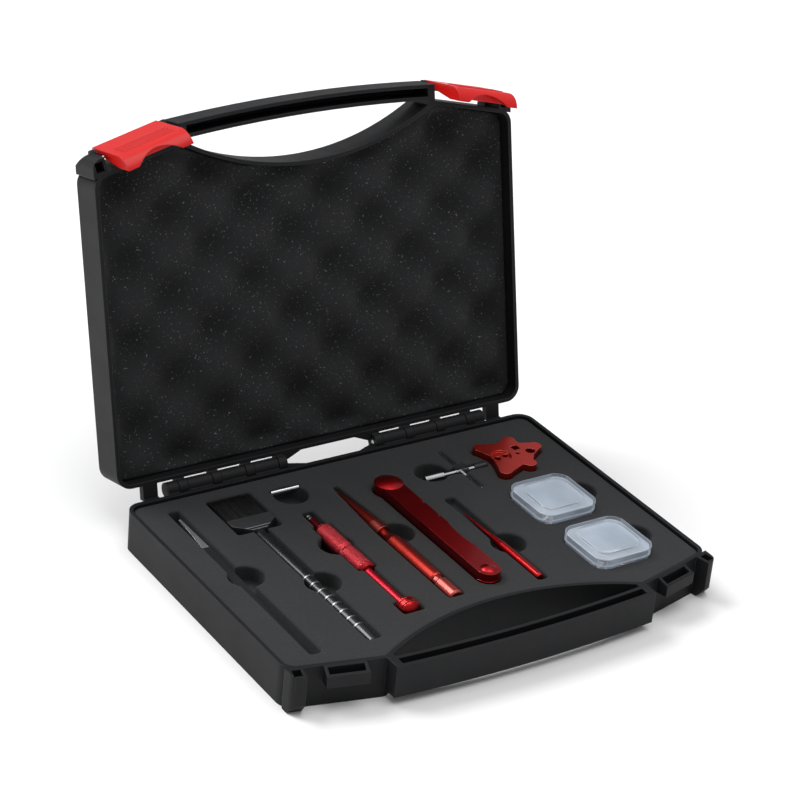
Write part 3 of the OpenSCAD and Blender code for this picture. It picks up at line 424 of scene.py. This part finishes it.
lacquer = Finish(
    "black lacquered handle", {"Specular IOR Level": 0.5, "Coat Weight": 0.2, "Coat Roughness": 0.15}
)
lacquer_edge = lacquer.rounded(0.0004)
lacquer_cloud = lacquer.noise(150, 3.0)
lacquer_scuff = lacquer.step(lacquer.noise(1.0, 4.0, lacquer.stretched(2600, 300, 2600)), 0.62, 0.75)
lacquer_tone = lacquer.mix(lacquer_cloud, (0.008, 0.0085, 0.010), (0.014, 0.0145, 0.016))
lacquer.wear({
    "Base Color": lacquer.mix(lacquer_scuff * 0.3, lacquer_tone, (0.06, 0.06, 0.065)),
    "Roughness": 0.24 + lacquer_cloud * 0.08 + lacquer_scuff * 0.15,
    "Normal": lacquer.relief(lacquer_cloud, 0.00004, lacquer_edge),
})
dress(lacquer, "brush_handle")

silver = Finish("silvered ring", {"Metallic": 1.0})
silver_edge = silver.rounded(0.0002)
silver_fine = silver.noise(1900, 3.0)
silver.wear({
    "Base Color": silver.mix(silver_fine, (0.28, 0.285, 0.30), (0.46, 0.465, 0.48)),
    "Roughness": 0.26 + silver_fine * 0.2,
    "Normal": silver.relief(silver_fine, 0.00002, silver_edge),
})
dress(silver, "brush_bands")


# ---- knurled driver ----
# Turned from aluminium bar and dyed red: a steel tip pressed into a grip with a fine
# diamond knurl, a plain shaft, and a ribbed cap that spins on the shaft's spigot.
# The tip has the same dark surface as the brush ferrule.

def anodised(name, dark, light, rim, roughness, lines):
    """Dyed aluminium: a metal skin with fine tool marks and paler, polished edges."""
    finish = Finish(name, {"Metallic": 1.0, "Coat Weight": 0.25, "Coat Roughness": 0.12})
    edge = finish.rounded(0.00035)
    rub = finish.rubbed(edge, 3)
    marks = finish.noise(1.0, 3.0, finish.stretched(*lines))
    cloud = finish.noise(120, 3.0)
    finish.wear({
        "Base Color": finish.mix(rub * 0.75, finish.mix(cloud * 0.5 + marks * 0.5, dark, light), rim),
        "Roughness": roughness + marks * 0.10 + cloud * 0.05 - rub * 0.06,
        "Normal": finish.relief(marks, 0.000012, edge),
    })
    return finish


turned_lines = (90, 5200, 90)
milled_lines = (2400, 2400, 900)
grip_dye = anodised(
    "knurled red grip", (0.40, 0.012, 0.022), (0.58, 0.028, 0.042), (0.80, 0.16, 0.17), 0.24, turned_lines
)
shaft_dye = anodised(
    "turned red shaft", (0.42, 0.012, 0.026), (0.55, 0.022, 0.042), (0.78, 0.14, 0.16), 0.34, turned_lines
)
cap_dye = anodised(
    "turned red cap", (0.42, 0.008, 0.010), (0.60, 0.014, 0.016), (0.86, 0.22, 0.20), 0.22, turned_lines
)

knurl_starts = 28
knurl_facets = 6
knurl_depth = 0.00026
grip_neck_r = 0.0022
grip_waist = 0.0007

grip_low, grip_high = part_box("driver_grip")
grip_r = (grip_high.x - grip_low.x) / 2
grip_mid = (grip_low + grip_high) / 2
shoulder_y = grip_high.y - 0.0090
waist_y = shoulder_y - (shoulder_y - grip_low.y) * 0.55
knurl_pitch = 2 * math.pi * grip_r / knurl_starts
knurl_step = knurl_pitch / knurl_facets


def grip_outline(y):
    """The grip's plain radius at a station along its length."""
    corners = [
        (grip_high.y, grip_neck_r - 0.0005),
        (shoulder_y + 0.0001, grip_neck_r),
        (shoulder_y, grip_neck_r + 0.0008),
        (shoulder_y - 0.003, grip_r),
        (waist_y + 0.002, grip_r),
        (waist_y, grip_r - grip_waist),
        (waist_y - 0.002, grip_r),
        (grip_low.y + 0.0012, grip_r),
        (grip_low.y, grip_r - 0.0012),
    ]
    for (y1, r1), (y2, r2) in zip(corners, corners[1:]):
        if y2 <= y <= y1:
            return r1 + (r2 - r1) * (y1 - y) / max(y1 - y2, 1e-9)
    return corners[-1][1]


def tent(value):
    """0 at whole numbers and 1 half-way between them."""
    return 1 - abs(2 * (value - math.floor(value)) - 1)


stations = [grip_high.y, grip_high.y - 0.004, shoulder_y + 0.0001]
count = int((shoulder_y - grip_low.y - 0.0016) / knurl_step)
stations += [shoulder_y - step * knurl_step for step in range(count + 1)]
stations += [grip_low.y + 0.0014, grip_low.y + 0.0012, grip_low.y]
around = knurl_starts * knurl_facets
grip_points = []
for y in stations:
    plain = grip_outline(y)
    deep = knurl_depth if grip_low.y + 0.0016 < y < shoulder_y - 0.0008 else 0.0
    for side in range(around):
        lead = side / knurl_facets
        climb = (shoulder_y - y) / knurl_pitch
        ridge = min(tent(lead + climb), tent(lead - climb))
        radius = plain - deep * (1 - ridge)
        turn = 2 * math.pi * side / around
        grip_points.append((
            grip_mid.x + radius * math.cos(turn),
            y,
            grip_mid.z + radius * math.sin(turn),
        ))
grip_faces = []
for ring in range(len(stations) - 1):
    for side in range(around):
        a = ring * around + side
        b = ring * around + (side + 1) % around
        grip_faces.append((a, b, b + around, a + around))
grip_faces.append(tuple(range(around))[::-1])
grip_faces.append(tuple(range(len(grip_points) - around, len(grip_points))))
grip = piece_of("knurled_grip", grip_points, grip_faces, grip_dye, smooth=False)
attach(grip, "driver")
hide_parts("driver_grip")
dress(shaft_dye, "driver_shaft")
dress(cap_dye, "driver_swivel_cap")
dress(ferrule, "driver_tip")


# ---- pen tool ----
# A slim two-part barrel turned from aluminium, with a pointed nose, a bright collar
# where the nose screws in and a bright band and end where the rear cap screws on.

barrel_dye = anodised(
    "pen barrel red", (0.34, 0.022, 0.016), (0.50, 0.045, 0.032), (0.80, 0.24, 0.20), 0.30, turned_lines
)
bright_dye = anodised(
    "pen bright rings", (0.56, 0.075, 0.062), (0.70, 0.14, 0.115), (0.90, 0.42, 0.38), 0.22, turned_lines
)
dress(barrel_dye, "pen_nose", "pen_barrel")
dress(bright_dye, "pen_collar", "pen_band", "pen_end_cap")


# ---- offset wrench ----
# Milled from flat aluminium bar with a waist and finger scallops, with a turned drum
# at one end and a pad at the other. The edges are chamfered bright before dyeing.

wrench_dye = anodised(
    "milled red wrench", (0.30, 0.004, 0.007), (0.44, 0.008, 0.011), (0.74, 0.07, 0.075), 0.27, milled_lines
)
dress(wrench_dye, "wrench_bar", "wrench_drum", "wrench_end_pad")


# ---- pick ----
# A slender turned handle that tapers to a fine point, dyed the same red.

pick_dye = anodised(
    "turned red pick", (0.28, 0.004, 0.006), (0.40, 0.008, 0.010), (0.72, 0.07, 0.07), 0.30, turned_lines
)
dress(pick_dye, "pick_handle", "pick_point")


# ---- pin press ----
# A small plated press: a block, a spindle with a sleeve and a tommy bar through its
# head, all polished, and a moulded black knob.

plated = Finish("polished plate", {"Metallic": 1.0})
plated_edge = plated.rounded(0.0002)
plated_haze = plated.noise(700, 4.0)
plated_hair = plated.step(plated.noise(1.0, 3.0, plated.stretched(900, 6000, 6000)), 0.60, 0.72)
plated.wear({
    "Base Color": plated.mix(plated_haze, (0.72, 0.73, 0.75), (0.86, 0.87, 0.88)),
    "Roughness": 0.08 + plated_haze * 0.08 + plated_hair * 0.12,
    "Normal": plated.relief(plated_haze * 0.5 + plated_hair * 0.5, 0.000008, plated_edge),
})
dress(plated, "press_spindle", "press_sleeve", "press_block", "press_tommy_bar", "short_steel_pin")

knob = Finish("moulded black knob", {"Specular IOR Level": 0.5})
knob_edge = knob.rounded(0.0003)
knob_skin = knob.noise(1600, 3.0)
knob.wear({
    "Base Color": knob.mix(knob_skin, (0.010, 0.010, 0.011), (0.020, 0.020, 0.022)),
    "Roughness": 0.32 + knob_skin * 0.15,
    "Normal": knob.relief(knob_skin, 0.00003, knob_edge),
})
dress(knob, "press_knob")


# ---- star wrench ----
# A five-lobed plate milled from aluminium with driving holes of several sizes,
# chamfered all round and dyed a brighter red.

star_dye = anodised(
    "milled red star", (0.58, 0.026, 0.018), (0.74, 0.048, 0.032), (0.95, 0.34, 0.27), 0.30, milled_lines
)
dress(star_dye, "star_wrench")


# ---- clear boxes ----
# Thin domed boxes moulded in natural polypropylene, faintly milky and whiter where
# the wall is seen edge-on or is thick. Small turned bits lie in the front one.

clear = Finish("milky clear plastic", {"Specular IOR Level": 0.5, "IOR": 1.49})
clear_edge = clear.rounded(0.0009)
clear_thick = clear.rubbed(clear_edge, 5)
clear_flow = clear.noise(1.0, 3.0, clear.stretched(130, 60, 130))
clear_gloss = clear.node("Fresnel", {}, {"IOR": 1.49}, "Fac")
clear.material.surface_render_method = "BLENDED"
clear_tone = clear.mix(clear_flow, (0.52, 0.60, 0.70), (0.64, 0.71, 0.80))
clear.wear({
    "Base Color": clear.mix(clear_thick, clear_tone, (0.90, 0.93, 0.96)),
    "Roughness": 0.14 + clear_flow * 0.10,
    "Alpha": 0.06 + clear_thick * 0.5 + clear_flow * 0.04 + clear_gloss * 0.6,
    "Normal": clear.relief(clear_flow, 0.0001, clear_edge),
})
dress(clear, "rear_box_base", "rear_box_lid", "front_box_base", "front_box_lid")

white = Finish("white moulded cap", {"Specular IOR Level": 0.5})
white_edge = white.rounded(0.0003)
white_skin = white.noise(900, 3.0)
white.wear({
    "Base Color": white.mix(white_skin, (0.72, 0.73, 0.74), (0.82, 0.83, 0.84)),
    "Roughness": 0.3 + white_skin * 0.12,
    "Normal": white.relief(white_skin, 0.00003, white_edge),
})
dress(white, "rear_box_cap")

brass = Finish("turned brass", {"Metallic": 1.0})
brass_edge = brass.rounded(0.0002)
brass_turned = brass.noise(1.0, 3.0, brass.stretched(600, 3600, 600))
brass.wear({
    "Base Color": brass.mix(brass_turned, (0.60, 0.42, 0.19), (0.80, 0.60, 0.32)),
    "Roughness": 0.2 + brass_turned * 0.14,
    "Normal": brass.relief(brass_turned, 0.00001, brass_edge),
})
dress(brass, "front_box_brass_bits")
dress(plated, "front_box_steel_bits")


# ---- studio ----
# A plain pale floor under two wide soft lamps and a pale sky that is brighter overhead.
# The camera stands in front of the case, to the left and above.

floor_half = 6.0
floor_mesh = bpy.data.meshes.new("floor")
floor_mesh.from_pydata(
    [(x * floor_half, y * floor_half, 0) for x, y in ((-1, -1), (1, -1), (1, 1), (-1, 1))],
    [],
    [(0, 1, 2, 3)],
)
floor = bpy.data.objects.new("floor", floor_mesh)
bpy.context.scene.collection.objects.link(floor)
floor_paint = Finish("pale floor", {"Specular IOR Level": 0.2})
floor_cloud = floor_paint.noise(3, 2.0)
floor_paint.wear({
    "Base Color": floor_paint.mix(floor_cloud, (0.90, 0.90, 0.90), (0.92, 0.92, 0.92)),
    "Roughness": 0.7 + floor_cloud * 0.1,
})
floor_mesh.materials.append(floor_paint.material)


def lamp(name, azimuth, elevation, strength, softness):
    """A soft distant lamp in that direction, in degrees, as seen from the case."""
    light = bpy.data.lights.new(name, "SUN")
    light.energy = strength
    light.angle = math.radians(softness)
    holder = bpy.data.objects.new(name, light)
    bpy.context.scene.collection.objects.link(holder)
    a, e = math.radians(azimuth), math.radians(elevation)
    towards = Vector((math.sin(a) * math.cos(e), -math.cos(a) * math.cos(e), math.sin(e)))
    holder.rotation_mode = "QUATERNION"
    holder.rotation_quaternion = towards.to_track_quat("Z", "Y")


lamp("key_lamp", -150, 48, 2.1, 34)
lamp("top_lamp", 20, 78, 1.1, 50)

world = bpy.data.worlds.new("pale sky")
bpy.context.scene.world = world
world.use_nodes = True
sky_tree = world.node_tree
sky_place = sky_tree.nodes.new("ShaderNodeTexCoord")
sky_height = sky_tree.nodes.new("ShaderNodeSeparateXYZ")
sky_ramp = sky_tree.nodes.new("ShaderNodeValToRGB")
sky_ramp.color_ramp.elements[0].position = 0.0
sky_ramp.color_ramp.elements[0].color = (0.20, 0.20, 0.21, 1)
sky_ramp.color_ramp.elements[1].position = 0.9
sky_ramp.color_ramp.elements[1].color = (0.72, 0.72, 0.73, 1)
sky_tree.links.new(sky_place.outputs["Generated"], sky_height.inputs[0])
sky_tree.links.new(sky_height.outputs["Z"], sky_ramp.inputs["Fac"])
sky_tree.links.new(sky_ramp.outputs["Color"], sky_tree.nodes["Background"].inputs["Color"])
sky_tree.nodes["Background"].inputs["Strength"].default_value = 0.85

camera_azimuth = math.radians(-35.32)
camera_elevation = math.radians(27.9)
camera_roll = math.radians(5.61)
camera_at = Vector((-0.6446, -0.88545, 0.6712))
camera_data = bpy.data.cameras.new("camera")
camera_data.sensor_width = 36
camera_data.lens = 117.09
camera_data.clip_start = 0.05
camera_data.clip_end = 30
camera = bpy.data.objects.new("camera", camera_data)
bpy.context.scene.collection.objects.link(camera)
back = Vector((
    math.sin(camera_azimuth) * math.cos(camera_elevation),
    -math.cos(camera_azimuth) * math.cos(camera_elevation),
    math.sin(camera_elevation),
))
level_right = Vector((0, 0, 1)).cross(back).normalized()
level_up = back.cross(level_right)
right = math.cos(camera_roll) * level_right + math.sin(camera_roll) * level_up
up = math.cos(camera_roll) * level_up - math.sin(camera_roll) * level_right
turn_to = Matrix((right, up, back)).transposed().to_4x4()
camera.matrix_world = Matrix.Translation(camera_at) @ turn_to
bpy.context.scene.camera = camera
bpy.context.scene.view_settings.view_transform = "Standard"
